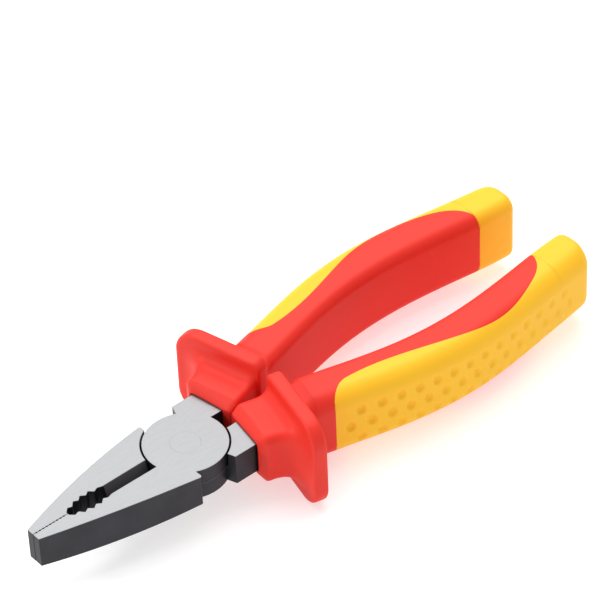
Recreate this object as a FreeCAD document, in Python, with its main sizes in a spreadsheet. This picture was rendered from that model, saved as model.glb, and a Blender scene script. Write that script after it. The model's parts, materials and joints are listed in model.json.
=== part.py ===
import FreeCAD
import Part
import Sketcher
import math
import os

# Insulated combination pliers for linemen, 200 mm nominal size, in millimetres.
#
# Two equal forged levers cross at a lap joint and turn on one flush rivet. Each carries
# a moulded grip of three layers: a core sleeve on the tang, a red body with the hand
# guard, and a yellow cover. The left lever's handle is at -Y, the right one's at +Y.
# Every piece is drawn in the frame of the pivot, for the handle at +Y, with the jaws
# towards -X; the left lever and its grip are the same pieces turned half a turn about X.

doc = FreeCAD.newDocument("lineman_pliers")

# ---------------------------------------------------------------- driving dimensions

DIMENSIONS = {
    # head
    "head_thickness": 11.0,
    "jaw_length": 57.1,          # pivot to jaw tip
    "jaw_gap": 0.12,             # between the closed jaws
    "jaw_rear": 5.6,             # pivot to the rear face of the jaw
    "jaw_width": 14.75,          # half width of the head at the jaw's rear
    "jaw_corner": 0.8,           # rounding of that corner
    "tip_width": 2.7,            # width of one jaw at its tip
    "flank_round_top": 600.0,    # flank radius at the lap side, nearly straight
    "flank_round_under": 220.0,  # flank radius at the other side
    # lap joint and rivet
    "lap_radius": 13.125,
    "recess_radius": 13.65,
    "lap_gap": 0.1,
    "rivet_radius": 3.5,
    "rivet_head_radius": 4.7,
    "rivet_head_depth": 1.2,
    "rivet_clearance": 0.04,
    # cutter and pipe grip
    "cutter_start": 29.6,        # pivot to the front end of the cutting edges
    "cutter_width": 2.2,         # bevel at the face of the head
    "cutter_land": 0.1,
    "tooth_pitch": 2.9,
    "teeth_start": 31.4,         # pivot to the rearmost tooth valley
    "teeth_middle": 36.2,        # pivot to the widest place of the pipe grip
    "valley_width": 3.45,        # half width there at the tooth valleys
    "crest_width": 2.35,         # half width there at the tooth crests
    "oval_fall": 0.035,          # narrowing with the square of the distance, 1/mm
    "fine_pitch": 1.25,          # cross grooves of the flat grip
    "fine_depth": 0.22,
    # shank and tang
    "shank_front": 6.6,
    "shank_inner": 3.4,
    "shank_outer": 14.9,
    "shank_end": 26.0,
    "tang_thickness": 8.6,
    "tang_start": 22.0,
    "tang_end": 126.0,
    # grip layers
    "core_thickness": 12.2,
    "core_end": 131.0,
    "grip_thickness": 23.8,
    "grip_end": 145.2,
    "grip_rounding": 4.0,
    "crest": 95.0,               # where the handle is widest
    "seam_front": 40.5,
    "seam_end": 129.0,
    "collar_thickness": 18.4,
    "collar_gap": 0.3,           # between the two closed collars
    "guard_tilt": 14.0,          # degrees
    "guard_front": 29.7,
    "guard_plate": 4.8,
    "guard_height": 32.2,
    "guard_inner": 5.9,
    "guard_outer": 25.9,
    "guard_corner": 8.0,
}

size = doc.addObject("Spreadsheet::Sheet", "Size")
for row, (alias, value) in enumerate(DIMENSIONS.items(), start=1):
    size.set("A%d" % row, alias)
    size.set("B%d" % row, str(value))
    size.setAlias("B%d" % row, alias)
doc.recompute()

# ---------------------------------------------------------------- drawing helpers


def number(expression):
    """Value of an expression of sheet cells, such as '-Size.jaw_length'."""
    value = size.evalExpression(str(expression))
    return float(getattr(value, "Value", value))


def new_sketch(body, name, plane="XY_Plane"):
    """Sketch on an origin plane of its body."""
    sketch = body.newObject("Sketcher::SketchObject", name)
    planes = [p for p in body.Origin.OriginFeatures if p.Role == plane]
    sketch.AttachmentSupport = [(planes[0], "")]
    sketch.MapMode = "FlatFace"
    return sketch


def bulged_arc(start, end, radius, side):
    """Arc from start to end that bulges to the left (1) or the right (-1)."""
    chord = end - start
    left = FreeCAD.Vector(-chord.y, chord.x, 0).normalize() * side
    half = chord.Length / 2
    rise = radius - math.sqrt(radius * radius - half * half)
    return Part.Arc(start, start + chord * 0.5 + left * rise, end)


def outline(sketch, corners):
    """Closed outline whose corners, and radii of its arcs, are expressions.

    A corner is (x, y), or (x, y, radius, side) where an arc arrives at it.
    """
    points = [FreeCAD.Vector(number(c[0]), number(c[1]), 0) for c in corners]
    starts, ends = [], []
    for i, corner in enumerate(corners):
        start, end = points[i - 1], points[i]
        if len(corner) == 2:
            edge = sketch.addGeometry(Part.LineSegment(start, end), False)
            starts.append((edge, 1))
            ends.append((edge, 2))
            continue
        radius, side = corner[2], corner[3]
        arc = bulged_arc(start, end, number(radius), side)
        edge = sketch.addGeometry(arc, False)
        bound = sketch.addConstraint(Sketcher.Constraint("Radius", edge, number(radius)))
        sketch.setExpression("Constraints[%d]" % bound, str(radius))
        starts.append((edge, 2 if side > 0 else 1))
        ends.append((edge, 1 if side > 0 else 2))
    for i, corner in enumerate(corners):
        joined = starts[(i + 1) % len(corners)]
        sketch.addConstraint(Sketcher.Constraint("Coincident", *ends[i], *joined))
        for kind, expression in (("DistanceX", corner[0]), ("DistanceY", corner[1])):
            place = Sketcher.Constraint(kind, -1, 1, *ends[i], number(expression))
            bound = sketch.addConstraint(place)
            sketch.setExpression("Constraints[%d]" % bound, str(expression))


def circle(sketch, radius):
    """Circle about the pivot with its radius bound to an expression."""
    middle = FreeCAD.Vector(0, 0, 0)
    up = FreeCAD.Vector(0, 0, 1)
    edge = sketch.addGeometry(Part.Circle(middle, up, number(radius)), False)
    sketch.addConstraint(Sketcher.Constraint("Coincident", edge, 3, -1, 1))
    bound = sketch.addConstraint(Sketcher.Constraint("Radius", edge, number(radius)))
    sketch.setExpression("Constraints[%d]" % bound, radius)


def feature(body, kind, name, profile, length, symmetric=False, backwards=False):
    """Pad or Pocket of a sketch, checked for having changed the solid."""
    doc.recompute()
    before = 0.0 if body.Tip is None else body.Shape.Volume
    made = body.newObject("PartDesign::" + kind, name)
    made.Profile = profile
    made.setExpression("Length", length)
    made.SideType = "Symmetric" if symmetric else "One side"
    made.Reversed = backwards
    doc.recompute()
    grown = made.Shape.Volume - before
    if (kind == "Pad") != (grown > 0) or abs(grown) < 1e-3:
        raise RuntimeError("%s of %s changes nothing" % (name, body.Name))
    return made


def rim_edges(shape, height, corners):
    """Names of the edges at +-height whose two ends are among the given corners."""
    wanted = [(number(c[0]), number(c[1])) for c in corners]

    def is_wanted(vertex):
        at = vertex.Point
        if abs(abs(at.z) - height) > 1e-4:
            return False
        return any(math.hypot(at.x - x, at.y - y) < 1e-3 for x, y in wanted)

    names = []
    for i, edge in enumerate(shape.Edges, start=1):
        ends = edge.Vertexes
        level = abs(ends[0].Point.z - ends[-1].Point.z) < 1e-6
        if len(ends) == 2 and level and all(is_wanted(v) for v in ends):
            names.append("Edge%d" % i)
    return names


def fillet(body, name, base, edges, radius):
    made = body.newObject("PartDesign::Fillet", name)
    made.Base = (base, edges)
    made.setExpression("Radius", radius)
    doc.recompute()
    if made.Shape.isNull() or not made.Shape.isValid():
        raise RuntimeError("%s isn't valid" % name)
    return made


def new_body(label, turned_over):
    """Body placed at the pivot; the left lever's pieces are turned half about X."""
    body = doc.addObject("PartDesign::Body", label)
    body.Label = label
    half_turn = FreeCAD.Rotation(FreeCAD.Vector(1, 0, 0), 180 if turned_over else 0)
    body.Placement = FreeCAD.Placement(FreeCAD.Vector(), half_turn)
    body.setExpression("Placement.Base.x", "(Size.jaw_length - Size.grip_end) / 2")
    body.setExpression("Placement.Base.z", "Size.guard_height / 2")
    return body


# ---------------------------------------------------------------- forged levers

HEAD = "Size.head_thickness"
INNER_FACE = "-Size.jaw_gap / 2"
TANG = [
    ("Size.tang_start", "Size.shank_inner + 0.6"),
    ("62", "13.9"),
    ("Size.crest - 1", "17.9", "125", 1),
    ("Size.crest + 15", "17.1", "125", 1),
    ("Size.tang_end", "15.3"),
    ("Size.tang_end", "21.7"),
    ("Size.crest + 15", "24.2"),
    ("Size.crest - 1", "25.2", "140", -1),
    ("62", "21.7", "160", -1),
    ("Size.tang_start", "Size.shank_outer - 0.3"),
]
SHANK = [
    ("Size.shank_front - 1.2", "Size.shank_inner"),
    ("Size.shank_end - 6", "Size.shank_inner"),
    ("Size.shank_end", "Size.shank_inner + 1.2"),
    ("Size.shank_end", "Size.shank_outer + 0.7"),
    ("Size.shank_end - 8", "Size.shank_outer"),
    ("Size.shank_front + 0.4", "Size.shank_outer"),
    ("Size.shank_front - 1.2", "Size.shank_outer - 4.4"),
]


def jaw_outline(sketch, flank_radius):
    """Jaw at -Y: from the tip along the curved flank to its rear face."""
    outline(sketch, [
        ("-Size.jaw_length", INNER_FACE),
        ("-Size.jaw_length", "-Size.tip_width"),
        ("-Size.jaw_rear - Size.jaw_corner", "-Size.jaw_width + 0.1", flank_radius, -1),
        ("-Size.jaw_rear", "-Size.jaw_width + Size.jaw_corner", "Size.jaw_corner", -1),
        ("-Size.jaw_rear", INNER_FACE),
    ])


def add_jaw(body):
    """The flank leans: it is nearly straight at the top and fuller at the bottom."""
    under = new_sketch(body, body.Name + "_jaw_under")
    under.setExpression("AttachmentOffset.Base.z", "-%s / 2" % HEAD)
    jaw_outline(under, "Size.flank_round_under")
    top = new_sketch(body, body.Name + "_jaw_top")
    top.setExpression("AttachmentOffset.Base.z", "%s / 2" % HEAD)
    jaw_outline(top, "Size.flank_round_top")
    doc.recompute()
    jaw = body.newObject("PartDesign::AdditiveLoft", body.Name + "_jaw")
    jaw.Profile = under
    jaw.Sections = [top]
    jaw.Ruled = True
    doc.recompute()


def add_cutter(body):
    """Bevels from both faces of the head that leave a cutting edge between them."""
    bevels = new_sketch(body, body.Name + "_cutter_section", "YZ_Plane")
    bevels.setExpression("AttachmentOffset.Base.z", "-Size.cutter_start")
    for face in ("", "-"):
        outline(bevels, [
            ("1", face + "Size.cutter_land"),
            (INNER_FACE, face + "Size.cutter_land"),
            ("-Size.cutter_width", "%s%s / 2" % (face, HEAD)),
            ("-Size.cutter_width", "%s%s" % (face, HEAD)),
            ("1", "%s%s" % (face, HEAD)),
        ])
    length = "Size.cutter_start - Size.lap_radius + 2"
    feature(body, "Pocket", body.Name + "_cutter", bevels, length, backwards=True)


def add_pipe_grip(body):
    """Five coarse teeth along an oval opening, right through the head."""
    corners = [
        ("-Size.cutter_start + 0.2", "1"),
        ("-Size.cutter_start + 0.2", "-Size.cutter_width + 0.2"),
    ]
    for i in range(9):
        level = "Size.crest_width" if i % 2 else "Size.valley_width"
        place = "(Size.teeth_start + Size.tooth_pitch * %g)" % (i / 2)
        fall = "Size.oval_fall * (%s - Size.teeth_middle)^2" % place
        corners.append(("-" + place, "-(%s - %s)" % (level, fall)))
    front = "-(Size.teeth_start + Size.tooth_pitch * 4.45)"
    corners.append((front, "-0.6"))
    corners.append((front, "1"))
    teeth = new_sketch(body, body.Name + "_teeth")
    outline(teeth, corners)
    through = "2 * %s" % HEAD
    feature(body, "Pocket", body.Name + "_pipe_grip", teeth, through, symmetric=True)


def add_fine_grip(body):
    """Fine cross grooves in the flat gripping face near the tip."""
    groove = new_sketch(body, body.Name + "_groove")
    first = "-Size.jaw_length + Size.fine_pitch"
    outline(groove, [
        ("%s - Size.fine_pitch / 2" % first, "0.2"),
        ("%s - Size.fine_depth" % first, INNER_FACE),
        (first, "%s - Size.fine_depth" % INNER_FACE),
        ("%s + Size.fine_depth" % first, INNER_FACE),
        ("%s + Size.fine_pitch / 2" % first, "0.2"),
    ])
    through = "2 * %s" % HEAD
    name = body.Name + "_fine_groove"
    cut = feature(body, "Pocket", name, groove, through, symmetric=True)
    pattern = body.newObject("PartDesign::LinearPattern", body.Name + "_fine_grip")
    pattern.Originals = [cut]
    pattern.Direction = (groove, ["H_Axis"])
    pattern.Mode = "Spacing"
    pattern.setExpression("Offset", "Size.fine_pitch")
    pattern.Occurrences = 9
    body.Tip = pattern
    doc.recompute()


def make_lever(label, turned_over, hole_clearance):
    body = new_body(label, turned_over)
    add_jaw(body)
    shank = new_sketch(body, label + "_shank_outline")
    outline(shank, SHANK)
    feature(body, "Pad", label + "_shank", shank, HEAD, symmetric=True)
    tang = new_sketch(body, label + "_tang_outline")
    outline(tang, TANG)
    feature(body, "Pad", label + "_tang", tang, "Size.tang_thickness", symmetric=True)
    # the other lever's lap turns in a round recess in the lower half of this one
    recess = new_sketch(body, label + "_recess_outline")
    recess.setExpression("AttachmentOffset.Base.z", "Size.lap_gap / 2")
    circle(recess, "Size.recess_radius")
    feature(body, "Pocket", label + "_recess", recess, HEAD)
    add_cutter(body)
    add_pipe_grip(body)
    add_fine_grip(body)
    lap = new_sketch(body, label + "_lap_outline")
    lap.setExpression("AttachmentOffset.Base.z", "Size.lap_gap / 2")
    circle(lap, "Size.lap_radius")
    feature(body, "Pad", label + "_lap", lap, "(%s - Size.lap_gap) / 2" % HEAD)
    hole = new_sketch(body, label + "_hole_section", "XZ_Plane")
    bore = "Size.rivet_radius + %s" % hole_clearance
    sink = "Size.rivet_head_radius + %s" % hole_clearance
    outline(hole, [
        ("0", "-1"),
        (bore, "-1"),
        (bore, "%s / 2 - Size.rivet_head_depth" % HEAD),
        (sink, "%s / 2" % HEAD),
        (sink, "%s / 2 + 1" % HEAD),
        ("0", "%s / 2 + 1" % HEAD),
    ])
    doc.recompute()
    before = body.Shape.Volume
    groove = body.newObject("PartDesign::Groove", label + "_rivet_hole")
    groove.Profile = hole
    groove.ReferenceAxis = (hole, ["V_Axis"])
    groove.Angle = 360
    doc.recompute()
    if groove.Shape.Volume > before - 10:
        raise RuntimeError("no rivet hole in " + label)
    return body


def make_rivet():
    """Pin with both ends set into countersinks and ground flush with the head."""
    body = new_body("pivot_rivet", False)
    half = new_sketch(body, "rivet_section", "XZ_Plane")
    face = "%s / 2" % HEAD
    shoulder = "%s - Size.rivet_head_depth" % face
    outline(half, [
        ("0", "-(%s)" % face),
        ("Size.rivet_head_radius", "-(%s)" % face),
        ("Size.rivet_radius", "-(%s)" % shoulder),
        ("Size.rivet_radius", shoulder),
        ("Size.rivet_head_radius", face),
        ("0", face),
    ])
    doc.recompute()
    pin = body.newObject("PartDesign::Revolution", "rivet_pin")
    pin.Profile = half
    pin.ReferenceAxis = (half, ["V_Axis"])
    pin.Angle = 360
    doc.recompute()
    return body


# ---------------------------------------------------------------- moulded grips

CORE = [
    ("Size.shank_end", "Size.shank_inner + 0.2"),
    ("62", "12.2"),
    ("Size.crest - 1", "16.2", "125", 1),
    ("Size.crest + 15", "15.4", "125", 1),
    ("Size.core_end", "13.6"),
    ("Size.core_end", "22.7"),
    ("Size.crest + 15", "25.9"),
    ("Size.crest - 1", "26.9", "140", -1),
    ("62", "23.4", "160", -1),
    ("Size.shank_end", "Size.shank_outer + 2.4"),
]
# the side of the handle that faces the other one, from the guard to the seam's end
INNER_SIDE = [
    ("Size.guard_front + 2", "3.6"),
    ("70", "12.3"),
    ("Size.crest", "14.5", "125", 1),
    ("Size.crest + 13", "13.5", "115", 1),
    ("Size.seam_end", "10.9"),
]
# the seam between the two colours, from that end round to the front of the cover
SEAM = [
    ("Size.seam_end", "13.3"),
    ("Size.crest + 20", "24.4", "24", -1),
    ("Size.crest - 13", "24", "50", -1),
    ("58", "17.5"),
    ("Size.seam_front", "21.4", "20", 1),
]
# the outer side and the rounded end, from the front of the cover to the seam's end
OUTER_SIDE = [
    ("Size.crest + 2", "30.6", "170", 1),
    ("Size.crest + 17", "29.3", "102", 1),
    ("Size.grip_end - 5.3", "25.1"),
    ("Size.grip_end", "19", "5.6", 1),
    ("Size.grip_end", "15.0"),
    ("Size.grip_end - 4.5", "9.8", "5.2", 1),
]


def hollow(body, label, path, thickness):
    """Cavity of the shape of a layer further in."""
    cavity = new_sketch(body, label + "_outline")
    outline(cavity, path)
    feature(body, "Pocket", label, cavity, thickness, symmetric=True)


def make_core(label, turned_over):
    body = new_body(label, turned_over)
    sleeve = new_sketch(body, label + "_outline")
    outline(sleeve, CORE)
    feature(body, "Pad", label + "_sleeve", sleeve, "Size.core_thickness", symmetric=True)
    hollow(body, label + "_tang_space", TANG, "Size.tang_thickness")
    return body


def make_red_body(label, turned_over):
    """Collar on the shank, hand guard, and the panel on the handle's inner side."""
    body = new_body(label, turned_over)
    panel = new_sketch(body, label + "_panel_outline")
    behind_guard = ("Size.guard_front + 2", "18.5")
    outline(panel, INNER_SIDE + SEAM + [behind_guard])
    thick = "Size.grip_thickness"
    pad = feature(body, "Pad", label + "_panel", panel, thick, symmetric=True)
    rim = rim_edges(pad.Shape, number(thick) / 2, INNER_SIDE)
    fillet(body, label + "_panel_rounding", pad, rim, "Size.grip_rounding")

    collar = new_sketch(body, label + "_collar_outline")
    side = [("15.6", "18.6"), ("26.8", "21.6")]
    outline(collar, [
        ("18.2", "Size.collar_gap / 2"),
        ("Size.guard_front + 1", "3.2"),
        ("Size.guard_front + 3", "17"),
        side[1],
        side[0],
        ("13.8", "17"),
    ])
    thick = "Size.collar_thickness"
    pad = feature(body, "Pad", label + "_collar", collar, thick, symmetric=True)
    rim = rim_edges(pad.Shape, number(thick) / 2, side)
    fillet(body, label + "_collar_rounding", pad, rim, "Size.grip_rounding - 1")

    # the guard leans back with the handle; its plane is turned to match
    guard = new_sketch(body, label + "_guard_outline", "YZ_Plane")
    lean = FreeCAD.Rotation(FreeCAD.Vector(0, 1, 0), number("Size.guard_tilt"))
    guard.AttachmentOffset = FreeCAD.Placement(FreeCAD.Vector(), lean)
    for axis, part in (("x", "sin"), ("z", "cos")):
        distance = "Size.guard_front * %s(Size.guard_tilt)" % part
        guard.setExpression("AttachmentOffset.Base." + axis, distance)
    guard.setExpression("AttachmentOffset.Rotation.Angle", "Size.guard_tilt")
    low, high = "-Size.guard_height / 2", "Size.guard_height / 2"
    near, far = "-Size.guard_inner", "Size.guard_outer"
    outline(guard, [
        (near + " + 3", low, "3", -1),
        (far + " - Size.guard_corner", low),
        (far, low + " + Size.guard_corner", "Size.guard_corner", -1),
        (far, high + " - Size.guard_corner"),
        (far + " - Size.guard_corner", high, "Size.guard_corner", -1),
        (near + " + 3", high),
        (near, high + " - 3", "3", -1),
        (near, low + " + 3"),
    ])
    feature(body, "Pad", label + "_guard", guard, "Size.guard_plate")
    hollow(body, label + "_shank_space", SHANK, HEAD)
    hollow(body, label + "_core_space", CORE, "Size.core_thickness")
    return body


def make_cover(label, turned_over):
    """Yellow layer on the palm side that also closes the end of the handle."""
    body = new_body(label, turned_over)
    cover = new_sketch(body, label + "_outline")
    outline(cover, OUTER_SIDE + [INNER_SIDE[-1][:2]] + SEAM)
    thick = "Size.grip_thickness"
    pad = feature(body, "Pad", label + "_shell", cover, thick, symmetric=True)
    rim = rim_edges(pad.Shape, number(thick) / 2,
                    [SEAM[-1][:2]] + OUTER_SIDE + [INNER_SIDE[-1][:2]])
    fillet(body, label + "_rounding", pad, rim, "Size.grip_rounding")
    hollow(body, label + "_core_space", CORE, "Size.core_thickness")
    return body


# ---------------------------------------------------------------- assembly

pieces = [make_rivet()]
# the rivet is pressed into the left lever, and the right lever turns on it
for hand, turned_over, clearance in (
        ("left", True, "0"),
        ("right", False, "Size.rivet_clearance")):
    pieces.append(make_lever("lever_" + hand, turned_over, clearance))
    pieces.append(make_core("core_sleeve_" + hand, turned_over))
    pieces.append(make_red_body("grip_body_" + hand, turned_over))
    pieces.append(make_cover("grip_cover_" + hand, turned_over))
doc.recompute()

# ---------------------------------------------------------------- checks and files

for item in doc.Objects:
    if {"Invalid", "Error"} & set(item.State):
        raise RuntimeError("%s failed: %s" % (item.Name, item.State))
os.makedirs("parts", exist_ok=True)
for piece in pieces:
    shape = piece.Shape
    if shape.isNull() or not shape.isValid() or len(shape.Solids) != 1:
        raise RuntimeError("%s isn't one valid solid" % piece.Label)
    shape.exportStep(os.path.join("parts", piece.Label + ".step"))
    print("%-20s %9.1f mm3" % (piece.Label, shape.Volume))
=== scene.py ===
import json
import math

import bmesh
import bpy
import numpy as np
from mathutils import Matrix, Vector


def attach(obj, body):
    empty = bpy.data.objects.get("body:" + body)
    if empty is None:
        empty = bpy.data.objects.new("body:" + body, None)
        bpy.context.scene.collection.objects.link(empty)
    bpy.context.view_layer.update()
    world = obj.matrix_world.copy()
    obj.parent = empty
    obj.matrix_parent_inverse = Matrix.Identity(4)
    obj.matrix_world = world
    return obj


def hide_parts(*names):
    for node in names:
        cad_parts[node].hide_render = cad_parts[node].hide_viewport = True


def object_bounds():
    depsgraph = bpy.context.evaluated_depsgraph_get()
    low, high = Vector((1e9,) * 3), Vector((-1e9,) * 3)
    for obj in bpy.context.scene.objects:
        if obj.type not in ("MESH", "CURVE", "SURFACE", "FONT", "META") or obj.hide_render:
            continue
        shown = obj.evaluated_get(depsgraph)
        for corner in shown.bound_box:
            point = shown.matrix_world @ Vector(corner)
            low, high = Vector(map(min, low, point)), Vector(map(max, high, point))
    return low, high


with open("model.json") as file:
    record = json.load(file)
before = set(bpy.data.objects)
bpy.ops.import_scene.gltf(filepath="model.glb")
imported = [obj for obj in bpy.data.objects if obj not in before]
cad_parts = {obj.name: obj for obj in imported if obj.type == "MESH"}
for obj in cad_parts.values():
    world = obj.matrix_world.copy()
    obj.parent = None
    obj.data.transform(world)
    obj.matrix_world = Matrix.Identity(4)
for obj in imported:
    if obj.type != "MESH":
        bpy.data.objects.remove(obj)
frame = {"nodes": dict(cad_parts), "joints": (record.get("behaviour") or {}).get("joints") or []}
cad_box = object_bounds()
scene = bpy.context.scene
MM = 0.001

# ---------------------------------------------------------------- camera, floor and light
# The tool lies on a pale table, seen from above its left jaw, from about 1.1 metres with
# a long lens. A large soft lamp behind and above lights the ground faces of the head, a
# small one on the left gives the dimples shade, and the table itself glows a little.

pivot = Vector(frame["joints"][0]["pos_m"])


def turn_from(azimuth, elevation, roll):
    """Camera axes for a view direction given in degrees."""
    az, el, ro = (math.radians(a) for a in (azimuth, elevation, roll))
    back = Vector((math.sin(az) * math.cos(el), -math.cos(az) * math.cos(el), math.sin(el)))
    right = Vector((math.cos(az), math.sin(az), 0))
    up = back.cross(right)
    turned_right = right * math.cos(ro) + up * math.sin(ro)
    turned_up = back.cross(turned_right)
    return Matrix((turned_right, turned_up, back)).transposed().to_4x4()


CAMERA_DISTANCE = 1.107
look_at = pivot + Vector((71.1, 30.5, 0)) * MM
camera = bpy.data.objects.new("camera", bpy.data.cameras.new("camera"))
scene.collection.objects.link(camera)
camera.matrix_world = turn_from(-39.1, 40.9, -2.6)
camera.location = look_at + camera.matrix_world.col[2].to_3d() * CAMERA_DISTANCE
camera.data.lens = 212.4
camera.data.clip_end = 20
scene.camera = camera

HALF_TABLE = 6.0                 # metres
TABLE_GAP = 0.0001               # metres below the tool, so that no faces coincide
floor_mesh = bpy.data.meshes.new("floor")
floor_mesh.from_pydata(
    [(-HALF_TABLE, -HALF_TABLE, 0), (HALF_TABLE, -HALF_TABLE, 0),
     (HALF_TABLE, HALF_TABLE, 0), (-HALF_TABLE, HALF_TABLE, 0)],
    [], [(0, 1, 2, 3)])
floor = bpy.data.objects.new("floor", floor_mesh)
floor.location.z = cad_box[0][2] - TABLE_GAP
scene.collection.objects.link(floor)
paper = bpy.data.materials.new("pale_table")
paper.use_nodes = True
paper_shader = paper.node_tree.nodes["Principled BSDF"]
paper_shader.inputs["Base Color"].default_value = (0.6, 0.6, 0.6, 1)
paper_shader.inputs["Roughness"].default_value = 0.8
paper_shader.inputs["Emission Color"].default_value = (1, 1, 1, 1)
paper_shader.inputs["Emission Strength"].default_value = 0.45
floor_mesh.materials.append(paper)


def soft_lamp(name, azimuth, elevation, distance, width, watts):
    """Square area lamp that points at the middle of the tool; degrees, metres, watts."""
    lamp = bpy.data.objects.new(name, bpy.data.lights.new(name, "AREA"))
    lamp.data.size = width
    lamp.data.energy = watts
    lamp.matrix_world = turn_from(azimuth, elevation, 0)
    lamp.location = look_at + lamp.matrix_world.col[2].to_3d() * distance
    scene.collection.objects.link(lamp)


soft_lamp("overhead_lamp", 150, 66, 1.5, 1.6, 18)
soft_lamp("left_lamp", -120, 28, 1.6, 0.3, 6)
world = bpy.data.worlds.new("studio")
world.use_nodes = True
world.node_tree.nodes["Background"].inputs["Color"].default_value = (1, 1, 1, 1)
world.node_tree.nodes["Background"].inputs["Strength"].default_value = 0.55
scene.world = world
scene.view_settings.view_transform = "Standard"
scene.view_settings.look = "Medium High Contrast"

# ---------------------------------------------------------------- forged levers
# Each lever is one drop forging of tool steel. Its two broad faces are ground bright
# after assembly; the sides keep the dark burnished skin, and the edges are broken.

HALF_HEAD = 5.5 * MM
EDGE_BREAK = 0.13 * MM
RIVET_ROOM = 6 * MM              # no edge is broken this near the rivet
SHORTEST_EDGE = 0.3 * MM
SHARP_EDGE = math.radians(32)


def finished_mesh(piece):
    """The piece's mesh with its modifiers applied, and the modifiers removed."""
    shown = piece.evaluated_get(bpy.context.evaluated_depsgraph_get())
    done = bpy.data.meshes.new_from_object(shown)
    piece.modifiers.clear()
    piece.data = done
    return piece


def new_material(name, roughness, metallic=0.0):
    """Material with its tree, its shader and the object coordinates."""
    material = bpy.data.materials.new(name)
    material.use_nodes = True
    tree = material.node_tree
    shader = tree.nodes["Principled BSDF"]
    shader.inputs["Roughness"].default_value = roughness
    shader.inputs["Metallic"].default_value = metallic
    shader.inputs["Specular IOR Level"].default_value = 0.36
    place = tree.nodes.new("ShaderNodeTexCoord").outputs["Object"]
    return material, tree, shader, place


def add_node(tree, kind, links=(), **settings):
    """Node with its settings, and its inputs linked or set by name or number."""
    node = tree.nodes.new(kind)
    for name, value in settings.items():
        setattr(node, name, value)
    for socket, value in links:
        if isinstance(value, bpy.types.NodeSocket):
            tree.links.new(value, node.inputs[socket])
        else:
            node.inputs[socket].default_value = value
    return node


def make_steel():
    """Ground and brushed on the two faces, dark on the sides, with a painted grey highlight on
    surfaces that tilt up or down.
    """
    material, tree, shader, place = new_material("forged_steel", 0.4, 0.65)
    spot = add_node(tree, "ShaderNodeSeparateXYZ", [(0, place)])
    height = add_node(tree, "ShaderNodeMath", [(0, spot.outputs["Z"]), (1, pivot.z)],
                      operation="SUBTRACT")
    # painted highlight: the more a surface turns towards up or down, the lighter grey it is
    # painted
    facing = add_node(tree, "ShaderNodeSeparateXYZ", [
        (0, tree.nodes.new("ShaderNodeNewGeometry").outputs["True Normal"])])
    slope = add_node(tree, "ShaderNodeMath", [(0, facing.outputs["Z"])],
                     operation="ABSOLUTE")
    painted_tilt_highlight = add_node(tree, "ShaderNodeMapRange", [
        ("Value", slope.outputs[0]), ("From Min", 0.15), ("From Max", 0.35)])
    away = add_node(tree, "ShaderNodeMath", [(0, height.outputs[0])], operation="ABSOLUTE")
    ground = add_node(tree, "ShaderNodeMapRange", [
        ("Value", away.outputs[0]),
        ("From Min", HALF_HEAD - EDGE_BREAK),
        ("From Max", HALF_HEAD - EDGE_BREAK * 0.5)])
    streaks = add_node(tree, "ShaderNodeMapping", [
        ("Vector", place), ("Scale", (260, 4200, 260)), ("Rotation", (0, 0, 0.35))])
    grain = add_node(tree, "ShaderNodeTexNoise", [
        ("Vector", streaks.outputs[0]), ("Scale", 1.0), ("Detail", 3.0)])
    cloud = add_node(tree, "ShaderNodeTexNoise", [
        ("Vector", place), ("Scale", 90.0), ("Detail", 4.0)])
    bright = add_node(tree, "ShaderNodeMix", [
        (0, grain.outputs["Fac"]), (6, (0.285, 0.29, 0.30, 1)), (7, (0.38, 0.388, 0.395, 1))],
        data_type="RGBA")
    dark = add_node(tree, "ShaderNodeMix", [
        (0, cloud.outputs["Fac"]), (6, (0.043, 0.042, 0.047, 1)), (7, (0.073, 0.071, 0.080, 1))],
        data_type="RGBA")
    # dark skin on the sides, painted lighter grey where the surface tilts, as a painted
    # highlight
    skin = add_node(tree, "ShaderNodeMix", [
        (0, painted_tilt_highlight.outputs[0]), (6, dark.outputs[2]), (7, (0.16, 0.155, 0.165, 1))],
        data_type="RGBA")
    colour = add_node(tree, "ShaderNodeMix", [
        (0, ground.outputs[0]), (6, skin.outputs[2]), (7, bright.outputs[2])],
        data_type="RGBA")
    tree.links.new(colour.outputs[2], shader.inputs["Base Color"])
    rough = add_node(tree, "ShaderNodeMapRange", [
        ("Value", grain.outputs["Fac"]), ("To Min", 0.36), ("To Max", 0.52)])
    tree.links.new(rough.outputs[0], shader.inputs["Roughness"])
    bump = add_node(tree, "ShaderNodeBump", [
        ("Height", grain.outputs["Fac"]), ("Strength", 0.12), ("Distance", 0.00004)])
    tree.links.new(bump.outputs[0], shader.inputs["Normal"])
    return material


def mark_worn_edges(mesh):
    """Bevel weight 1 on every sharp outer edge that isn't at the rivet."""
    shape = bmesh.new()
    shape.from_mesh(mesh)
    weight = shape.edges.layers.float.new("bevel_weight_edge")
    for edge in shape.edges:
        middle = (edge.verts[0].co + edge.verts[1].co) / 2 - pivot
        sharp = len(edge.link_faces) == 2 and edge.calc_face_angle_signed() > SHARP_EDGE
        if sharp and middle.xy.length > RIVET_ROOM and edge.calc_length() > SHORTEST_EDGE:
            edge[weight] = 1.0
    shape.to_mesh(mesh)
    shape.free()


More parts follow.
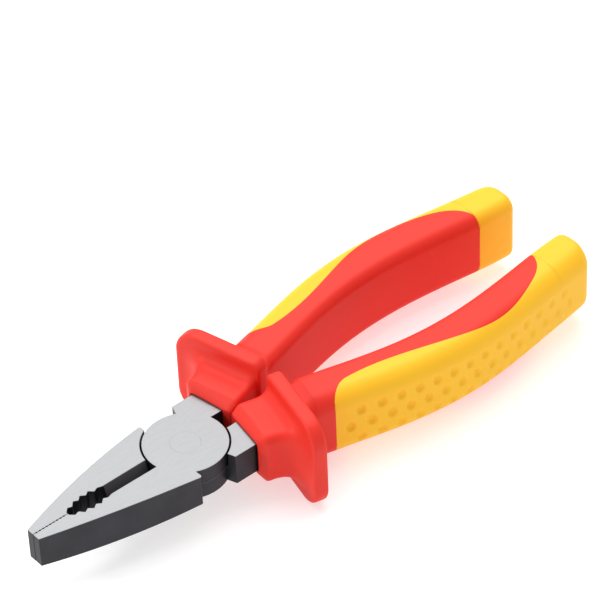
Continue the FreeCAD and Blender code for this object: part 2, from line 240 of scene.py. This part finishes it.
steel = make_steel()
for hand in ("left", "right"):
    node = frame["nodes"]["lever_" + hand]
    lever = bpy.data.objects.new("forged_lever_" + hand, node.data.copy())
    scene.collection.objects.link(lever)
    lever.data.materials.clear()
    lever.data.materials.append(steel)
    weld = lever.modifiers.new("weld", "WELD")
    weld.merge_threshold = 0.002 * MM
    flat = lever.modifiers.new("flat_faces", "DECIMATE")
    flat.decimate_type = "DISSOLVE"
    flat.angle_limit = math.radians(0.5)
    finished_mesh(lever)
    mark_worn_edges(lever.data)
    edges = lever.modifiers.new("broken_edges", "BEVEL")
    edges.width = EDGE_BREAK
    edges.segments = 2
    edges.limit_method = "WEIGHT"
    edges.use_clamp_overlap = False
    even = lever.modifiers.new("even_shading", "WEIGHTED_NORMAL")
    even.keep_sharp = True
    finished_mesh(lever)
    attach(lever, hand + "_lever")
    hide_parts("lever_" + hand)

# ---------------------------------------------------------------- rivet and core sleeves
# The rivet is ground flush together with the head, so it has the levers' finish. The
# core sleeves are the plain first shot of each grip, hidden under the other two.

frame["nodes"]["pivot_rivet"].data.materials.clear()
frame["nodes"]["pivot_rivet"].data.materials.append(steel)

core_plastic, tree, shader, place = new_material("core_plastic", 0.6)
shade = add_node(tree, "ShaderNodeTexNoise", [("Vector", place), ("Scale", 400.0)])
tint = add_node(tree, "ShaderNodeMix", [
    (0, shade.outputs["Fac"]), (6, (0.80, 0.77, 0.68, 1)), (7, (0.86, 0.83, 0.74, 1))],
    data_type="RGBA")
tree.links.new(tint.outputs[2], shader.inputs["Base Color"])
for hand in ("left", "right"):
    sleeve = frame["nodes"]["core_sleeve_" + hand]
    sleeve.data.materials.clear()
    sleeve.data.materials.append(core_plastic)

# ---------------------------------------------------------------- shape of the grips
# Both layers of a grip follow one run of cross-sections, from the mouth of the collar to
# the end of the handle. A section stands upright on a line in plan, from the side that
# faces the other handle to the palm side. Sizes are in millimetres from the pivot.

TILT = math.radians(14)          # lean of the collar and the guard
GRIP_END = 144.6
HALF_HEIGHT = 11.9
SEAM_FRONT = 42.3
SEAM_END = 129.6
SEAM_FRONT_ROUND = 7.0           # length of the rounded corner at the front
SEAM_TURN = 119                  # where the seam starts to turn to the inner side
SEAM_TURN_POWER = 3.2
SEAM_INSET = 7.5                 # from the middle of the inner side, at the seam's end
COLLAR_SHARE = 0.22              # of a half section that is palm side before the seam
MIDDLE_GAP = 0.12                # half the room left between the two grips
WALL = 1.2
RIM = 0.22
inner_side = np.poly1d(np.polyfit(
    [36, 44, 52, 60, 70, 80, 90, 100, 110, 120, 130, 138, 145],
    [4.4, 6.3, 8.6, 10.8, 12.7, 14.1, 14.7, 14.4, 13.4, 12.2, 10.8, 10.0, 9.7], 6))
outer_side = np.poly1d(np.polyfit(
    [34, 42, 50, 60, 70, 80, 90, 100, 110, 120, 130, 138, 145],
    [20.0, 22.0, 24.1, 26.6, 28.8, 30.3, 30.9, 30.5, 29.5, 28.2, 26.8, 25.5, 24.6], 6))
seam_share = np.poly1d(np.polyfit(
    [42, 47.5, 55, 64, 71, 80, 88, 96, 104, 110, 116, 120, 124, 130],
    [0.68, 0.58, 0.48, 0.465, 0.494, 0.594, 0.706, 0.80, 0.822, 0.80, 0.73, 0.66, 0.58, 0.47],
    7))


def quarter(share):
    """Rise of a quarter circle that starts level and ends upright."""
    share = min(max(share, 0.0), 1.0)
    return 1 - math.sqrt(1 - share * share)


def from_collar(along, across):
    """Plan point from distances along and across the tilted collar."""
    return np.array((along * math.cos(TILT) - across * math.sin(TILT),
                     along * math.sin(TILT) + across * math.cos(TILT)))


def half_section(width, height, inner_corner, outer_corner, crown=0.0):
    """Upper half of a section from the palm side over the top, as across and height."""
    quarter_turn = np.linspace(0, math.pi / 2, 14)
    inner_corner = min(inner_corner, height * 0.98, width * 0.45)
    outer_corner = min(outer_corner, height * 0.98, width * 0.5)
    flat = np.linspace(0, 1, 12)[1:-1]
    top_from = width - outer_corner
    top_to = inner_corner
    across = np.concatenate((
        [width],
        top_from + outer_corner * np.cos(quarter_turn),
        top_from + (top_to - top_from) * flat,
        top_to - inner_corner * np.sin(quarter_turn),
        [0.0]))
    level = np.concatenate((
        [0.0],
        height - outer_corner + outer_corner * np.sin(quarter_turn),
        np.full(flat.size, height),
        height - inner_corner + inner_corner * np.cos(quarter_turn),
        [0.0]))
    level = level + crown * np.sin(np.pi * across / width) * level / height
    return across, level


def ring(station, palm_steps, back_steps, proud=0.0):
    """Closed loop of points of one section, with its length from the middle of the palm."""
    inner, outer = station["inner"], station["outer"]
    width = np.linalg.norm(outer - inner)
    across, level = half_section(width, station["height"], station["inner_corner"],
                                 station["outer_corner"], station["crown"])
    steps = np.hypot(np.diff(across), np.diff(level))
    length = np.concatenate(([0.0], np.cumsum(steps)))
    split = seam_length(station, width, across, length)
    wanted = np.concatenate((np.linspace(0, split, palm_steps + 1),
                             np.linspace(split, length[-1], back_steps + 1)[1:]))
    across_at = np.interp(wanted, length, across)
    level_at = np.interp(wanted, length, level)
    way = (outer - inner) / width
    upper = np.column_stack((inner[0] + way[0] * across_at, inner[1] + way[1] * across_at,
                             level_at))
    lower = upper[1:-1][::-1] * (1, 1, -1)
    return np.vstack((upper, lower)), np.concatenate((wanted, -wanted[1:-1][::-1]))


def seam_length(station, width, across, length):
    """Where the seam between the colours crosses the section, from the palm's middle.

    Along the top the seam swings like a wave; it turns down to the palm side at the
    front, and round to the inner side at the end, in rounded corners.
    """
    x = station["x"]
    if x < SEAM_FRONT:
        return length[-1] * station["front_share"]
    on_top = np.interp(-seam_share(x), -across / width, length)
    start = length[-1] * station["front_share"]
    front = min((x - SEAM_FRONT) / SEAM_FRONT_ROUND, 1.0)
    rounded = start + (on_top - start) * math.sqrt(1 - (1 - front) ** 2)
    back = min(max((x - SEAM_TURN) / (SEAM_END - SEAM_TURN), 0.0), 1.0)
    finish = length[-1] - SEAM_INSET
    turned = 1 - (1 - back ** SEAM_TURN_POWER) ** (1 / SEAM_TURN_POWER)
    return rounded + (finish - rounded) * turned


def plan_station(x, inner, outer, height, inner_corner, outer_corner, crown=0.0):
    """One section: its two ends in plan, half its height and its corner radii."""
    return {"x": x, "inner": inner, "outer": outer, "height": height,
            "inner_corner": inner_corner, "outer_corner": outer_corner, "crown": crown,
            "front_share": COLLAR_SHARE}


def collar_station(along, inner, outer, height, inner_corner, outer_corner, swing=0.0):
    """Section across the collar or the guard; it stays clear of the other handle."""
    clear = (MIDDLE_GAP - along * math.sin(TILT)) / math.cos(TILT)
    inner = max(inner, clear)
    return plan_station(along - 2, from_collar(along, inner),
                        from_collar(along + swing, outer),
                        height, inner_corner, outer_corner)


def handle_station(x):
    """Section of the handle; near the guard it leans as the guard does."""
    fade = min(max((62 - x) / 24, 0.0), 1.0)
    lean = 3.9 * fade * fade * (3 - 2 * fade)
    inner_x, outer_x = x + lean / 2, x - lean / 2
    # the end is rounded in plan and in height
    over = x - GRIP_END
    inset = [r * quarter((over + r) / r) for r in (3.0, 4.2, 2.4)]
    inner = np.array((inner_x, inner_side(inner_x) + inset[0]))
    outer = np.array((outer_x, outer_side(outer_x) - inset[1]))
    back = min(max((x - 60) / 60, 0.0), 1.0)
    return plan_station(x, inner, outer, HALF_HEIGHT - inset[2],
                        3.2 + 0.8 * back - inset[0] * 0.5, 5.6 + 0.6 * back - inset[1] * 0.4,
                        crown=0.35)


def collar_and_guard():
    """Sections from the mouth round the steel back to the neck behind the guard.

    A row holds the distance along the collar, the inner and the outer side, half the
    height, the inner and the outer corner, and how far the outer side swings forward.
    """
    stations = [collar_station(*row) for row in (
        (17.9, -0.7, 11.1, 5.60, 0.5, 0.6, 1.0),
        (17.3, -0.9, 11.3, 5.75, 0.5, 0.8, 1.0),
        (17.1, -1.3, 11.6, 6.00, 0.6, 1.0, 1.0),
        (17.1, -3.9, 11.9, 6.25, 0.8, 1.3, 0.9),
        (17.4, -4.6, 12.3, 6.70, 1.0, 1.6, 0.8),
        (19.5, -4.7, 14.0, 8.80, 1.5, 2.5, 0.2),
        (20.0, -4.75, 14.4, 9.12, 1.7, 2.8),
        (20.8, -4.75, 14.6, 9.25, 1.8, 3.0),
        (21.6, -4.75, 14.6, 9.25, 1.8, 3.0))]
    flare_start, flare_length = 21.8, 7.9
    for turn in np.radians(np.linspace(8, 90, 16)):
        along = flare_start + flare_length * math.sin(turn)
        palm_flare = quarter((along - flare_start) / flare_length)
        top_flare = quarter((along - 25.5) / 4.2)
        inner_flare = quarter((along - 27.5) / 2.2)
        stations.append(collar_station(
            along, -4.75 - 0.5 * inner_flare, 14.6 + 9.4 * palm_flare,
            9.25 + 3.9 * top_flare, 1.8 + 1.0 * top_flare, 3.0 + 4.3 * palm_flare))
    stations += [collar_station(*row) for row in (
        (29.7, -5.3, 24.9, 15.2, 2.9, 7.6),
        (29.85, -5.6, 25.4, 15.7, 3.0, 7.8),
        (30.2, -5.8, 25.8, 16.0, 3.0, 8.0),
        (30.8, -5.9, 25.9, 16.1, 3.0, 8.0),
        (32.0, -5.9, 25.9, 16.1, 3.0, 8.0),
        (33.4, -5.9, 25.9, 16.1, 3.0, 8.0),
        (34.0, -5.8, 25.8, 16.0, 3.0, 8.0),
        (34.35, -5.6, 25.4, 15.7, 3.0, 7.8),
        (34.5, -5.3, 24.9, 15.2, 2.9, 7.6),
        (34.5, -4.9, 15.1, 13.2, 2.9, 7.0),
        (34.6, -4.8, 13.0, 12.3, 2.9, 6.2),
        (35.1, -4.7, 11.9, 11.4, 2.9, 5.8),
        (36.0, -4.65, 11.3, 10.85, 3.0, 5.6),
        (37.2, -4.6, 11.1, 10.65, 3.1, 5.6))]
    return stations


def layer_mesh(name, stations, palm_steps, back_steps, keep, close_end=False):
    """Sheet of quads over the stations; keep says which faces belong to this layer."""
    loops = [ring(s, palm_steps, back_steps) for s in stations]
    columns = len(loops[0][0])
    points = np.vstack([loop[0] for loop in loops])
    faces = []
    for i in range(len(stations) - 1):
        for j in range(columns):
            palm = j < palm_steps or j >= columns - palm_steps
            if keep(stations[i], stations[i + 1], palm):
                k = (j + 1) % columns
                faces.append((i * columns + j, i * columns + k,
                              (i + 1) * columns + k, (i + 1) * columns + j))
    if close_end:
        last = (len(stations) - 1) * columns
        faces.append(tuple(range(last, last + columns)))
    mesh = bpy.data.meshes.new(name)
    mesh.from_pydata((points * MM + np.array(pivot)).tolist(), [], faces)
    around = mesh.attributes.new("around", "FLOAT", "POINT")
    around.data.foreach_set("value", np.concatenate([loop[1] for loop in loops]))
    along = mesh.attributes.new("along", "FLOAT", "POINT")
    along.data.foreach_set("value", np.repeat([s["x"] for s in stations], columns))
    mesh.validate()
    mesh.shade_smooth()
    return mesh


def grip_piece(name, mesh, material, wall, edge):
    """Solid layer of the given wall with broken edges, from its outer sheet."""
    piece = bpy.data.objects.new(name, mesh)
    scene.collection.objects.link(piece)
    mesh.materials.append(material)
    skin = piece.modifiers.new("wall", "SOLIDIFY")
    skin.thickness = wall * MM
    skin.offset = -1
    rim = piece.modifiers.new("rim", "BEVEL")
    rim.width = edge * MM
    rim.segments = 2
    rim.limit_method = "ANGLE"
    rim.angle_limit = math.radians(60)
    return piece


def place_pair(right, node):
    """The right-hand piece, and its copy turned half a turn about the tool's axis."""
    half_turn = Matrix.Translation(pivot) @ Matrix.Rotation(math.pi, 4, "X")
    half_turn = half_turn @ Matrix.Translation(-pivot)
    left = right.copy()
    left.data = right.data.copy()
    left.data.transform(half_turn)
    scene.collection.objects.link(left)
    for piece, hand in ((right, "right"), (left, "left")):
        piece.name = "%s_%s" % (node, hand)
        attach(piece, hand + "_lever")
        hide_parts("%s_%s" % (node, hand))


# ---------------------------------------------------------------- red grip bodies
# The second shot: hard red plastic that forms the collar round the steel, the hand guard
# and the panel on the inner side of the handle.


def moulded_plastic(name, low, high, roughness, grain):
    """Satin plastic: a slight drift of colour and the fine grain of the mould."""
    material, tree, shader, place = new_material(name, roughness)
    drift = add_node(tree, "ShaderNodeTexNoise", [
        ("Vector", place), ("Scale", 35.0), ("Detail", 3.0)])
    colour = add_node(tree, "ShaderNodeMix", [
        (0, drift.outputs["Fac"]), (6, low + (1,)), (7, high + (1,))], data_type="RGBA")
    tree.links.new(colour.outputs[2], shader.inputs["Base Color"])
    texture = add_node(tree, "ShaderNodeTexNoise", [
        ("Vector", place), ("Scale", 2600.0), ("Detail", 2.0)])
    bump = add_node(tree, "ShaderNodeBump", [
        ("Height", texture.outputs["Fac"]), ("Strength", grain), ("Distance", 0.00003)])
    tree.links.new(bump.outputs[0], shader.inputs["Normal"])
    worn = add_node(tree, "ShaderNodeMapRange", [
        ("Value", drift.outputs["Fac"]),
        ("To Min", roughness - 0.05), ("To Max", roughness + 0.05)])
    tree.links.new(worn.outputs[0], shader.inputs["Roughness"])
    return material


red = moulded_plastic("red_plastic", (0.74, 0.036, 0.022), (0.82, 0.050, 0.032), 0.5, 0.25)


def stations_between(first, last, spacing):
    """Handle sections at about the given spacing, both ends included."""
    count = max(2, round((last - first) / spacing) + 1)
    return [handle_station(x) for x in np.linspace(first, last, count)]


red_stations = collar_and_guard()
red_stations += stations_between(37.0, SEAM_FRONT, 0.8)
# closer together where the seam turns, so that its corners come out round
FRONT_CORNER_END = SEAM_FRONT + 7
END_CORNER_START = 116
red_stations += stations_between(SEAM_FRONT, FRONT_CORNER_END, 0.25)[1:]
red_stations += stations_between(FRONT_CORNER_END, END_CORNER_START, 0.9)[1:]
red_stations += stations_between(END_CORNER_START, SEAM_END, 0.3)[1:]


def is_red(here, following, palm):
    return not palm or following["x"] <= SEAM_FRONT


red_mesh = layer_mesh("grip_body", red_stations, 26, 60, is_red)
red_body = grip_piece("grip_body", red_mesh, red, WALL, RIM)
finished_mesh(red_body)
place_pair(red_body, "grip_body")

# ---------------------------------------------------------------- yellow grip covers
# The third shot: softer yellow plastic round the palm side and the end of the handle,
# with three staggered rows of oval dimples that get shallower towards the end.

yellow = moulded_plastic("yellow_plastic", (0.93, 0.51, 0.022), (0.97, 0.56, 0.034), 0.48, 0.25)
yellow_stations = stations_between(SEAM_FRONT, SEAM_END, 0.4)
ROUNDED_END = 5
yellow_stations += stations_between(SEAM_END, GRIP_END - ROUNDED_END, 0.5)[1:]
yellow_stations += [handle_station(GRIP_END - ROUNDED_END * (1 - math.sin(turn)))
                    for turn in np.radians(np.linspace(6, 90, 18))]


def is_yellow(here, following, palm):
    return palm or here["x"] >= SEAM_END


yellow_mesh = layer_mesh("grip_cover", yellow_stations, 56, 30, is_yellow, close_end=True)
grip_cover = bpy.data.objects.new("grip_cover", yellow_mesh)
scene.collection.objects.link(grip_cover)


def dimple_tree():
    """Geometry nodes that press a staggered pattern of oval bowls into a surface."""
    lead_in = -1.8                   # bowls reach this far in front of the first centre
    tree = bpy.data.node_groups.new("dimples", "GeometryNodeTree")
    sockets = tree.interface
    sockets.new_socket("Geometry", in_out="INPUT", socket_type="NodeSocketGeometry")
    for name in ("Start", "End", "Pitch", "Row Spacing", "Row Shift", "Radius", "Slimness",
                 "Depth", "Faded Depth"):
        sockets.new_socket(name, in_out="INPUT", socket_type="NodeSocketFloat")
    sockets.new_socket("Material", in_out="INPUT", socket_type="NodeSocketMaterial")
    sockets.new_socket("Geometry", in_out="OUTPUT", socket_type="NodeSocketGeometry")
    given = tree.nodes.new("NodeGroupInput").outputs

    def math_node(operation, *values, clamp=False):
        node = tree.nodes.new("ShaderNodeMath")
        node.operation = operation
        node.use_clamp = clamp
        for socket, value in zip(node.inputs, values):
            if isinstance(value, bpy.types.NodeSocket):
                tree.links.new(value, socket)
            else:
                socket.default_value = value
        return node.outputs[0]

    def named(name):
        node = tree.nodes.new("GeometryNodeInputNamedAttribute")
        node.data_type = "FLOAT"
        node.inputs["Name"].default_value = name
        return node.outputs["Attribute"]

    along = named("along")
    around = math_node("SUBTRACT", named("around"), given["Row Shift"])
    row = math_node("ROUND", math_node("DIVIDE", around, given["Row Spacing"]))
    side_row = math_node("ABSOLUTE", row)
    in_rows = math_node("LESS_THAN", side_row, 1.5)
    travelled = math_node("SUBTRACT", along, given["Start"])
    stagger = math_node("MULTIPLY", math_node("MULTIPLY", side_row, 0.5), given["Pitch"])
    place = math_node("DIVIDE", math_node("SUBTRACT", travelled, stagger), given["Pitch"])
    lengthwise = math_node("MULTIPLY", given["Pitch"],
                           math_node("SUBTRACT", place, math_node("ROUND", place)))
    crosswise = math_node("SUBTRACT", around, math_node("MULTIPLY", row, given["Row Spacing"]))
    distance = math_node("SQRT", math_node(
        "ADD", math_node("POWER", math_node("MULTIPLY", lengthwise, given["Slimness"]), 2.0),
        math_node("POWER", crosswise, 2.0)))
    closeness = math_node("SUBTRACT", 1.0, math_node("DIVIDE", distance, given["Radius"]),
                          clamp=True)
    bowl = math_node("MULTIPLY", closeness, math_node("SUBTRACT", 2.0, closeness))
    share = math_node("DIVIDE", travelled, math_node("SUBTRACT", given["End"], given["Start"]))
    depth = math_node("ADD", math_node("MULTIPLY", given["Depth"],
                                       math_node("SUBTRACT", 1.0, share)),
                      math_node("MULTIPLY", given["Faded Depth"], share))
    inside = math_node("MULTIPLY",
                       math_node("GREATER_THAN", travelled, lead_in),
                       math_node("LESS_THAN", along, given["End"]))
    amount = math_node("MULTIPLY", math_node("MULTIPLY", bowl, depth),
                       math_node("MULTIPLY", inside, in_rows))
    normal = tree.nodes.new("GeometryNodeInputNormal").outputs[0]
    push = tree.nodes.new("ShaderNodeVectorMath")
    push.operation = "SCALE"
    tree.links.new(normal, push.inputs[0])
    tree.links.new(math_node("MULTIPLY", amount, -MM), push.inputs["Scale"])
    pressed = tree.nodes.new("GeometryNodeSetPosition")
    tree.links.new(given["Geometry"], pressed.inputs["Geometry"])
    tree.links.new(push.outputs[0], pressed.inputs["Offset"])
    real = tree.nodes.new("GeometryNodeRealizeInstances")
    tree.links.new(pressed.outputs[0], real.inputs[0])
    painted = tree.nodes.new("GeometryNodeSetMaterial")
    tree.links.new(real.outputs[0], painted.inputs["Geometry"])
    tree.links.new(given["Material"], painted.inputs["Material"])
    result = tree.nodes.new("NodeGroupOutput")
    tree.links.new(painted.outputs[0], result.inputs[0])
    return tree


pattern = grip_cover.modifiers.new("dimples", "NODES")
pattern.node_group = dimple_tree()
dimple_sizes = {"Start": 46.6, "End": 134.0, "Pitch": 6.2, "Row Spacing": 5.6,
                "Row Shift": 1.6, "Radius": 1.95, "Slimness": 1.3, "Depth": 1.1,
                "Faded Depth": 0.4, "Material": yellow}
for item in pattern.node_group.interface.items_tree:
    if item.in_out == "INPUT" and item.name in dimple_sizes:
        pattern[item.identifier] = dimple_sizes[item.name]
finished_mesh(grip_cover)
cover_mesh = grip_cover.data
cover_mesh.materials.clear()
bpy.data.objects.remove(grip_cover)
grip_cover = grip_piece("grip_cover", cover_mesh, yellow, WALL, RIM)
finished_mesh(grip_cover)
place_pair(grip_cover, "grip_cover")
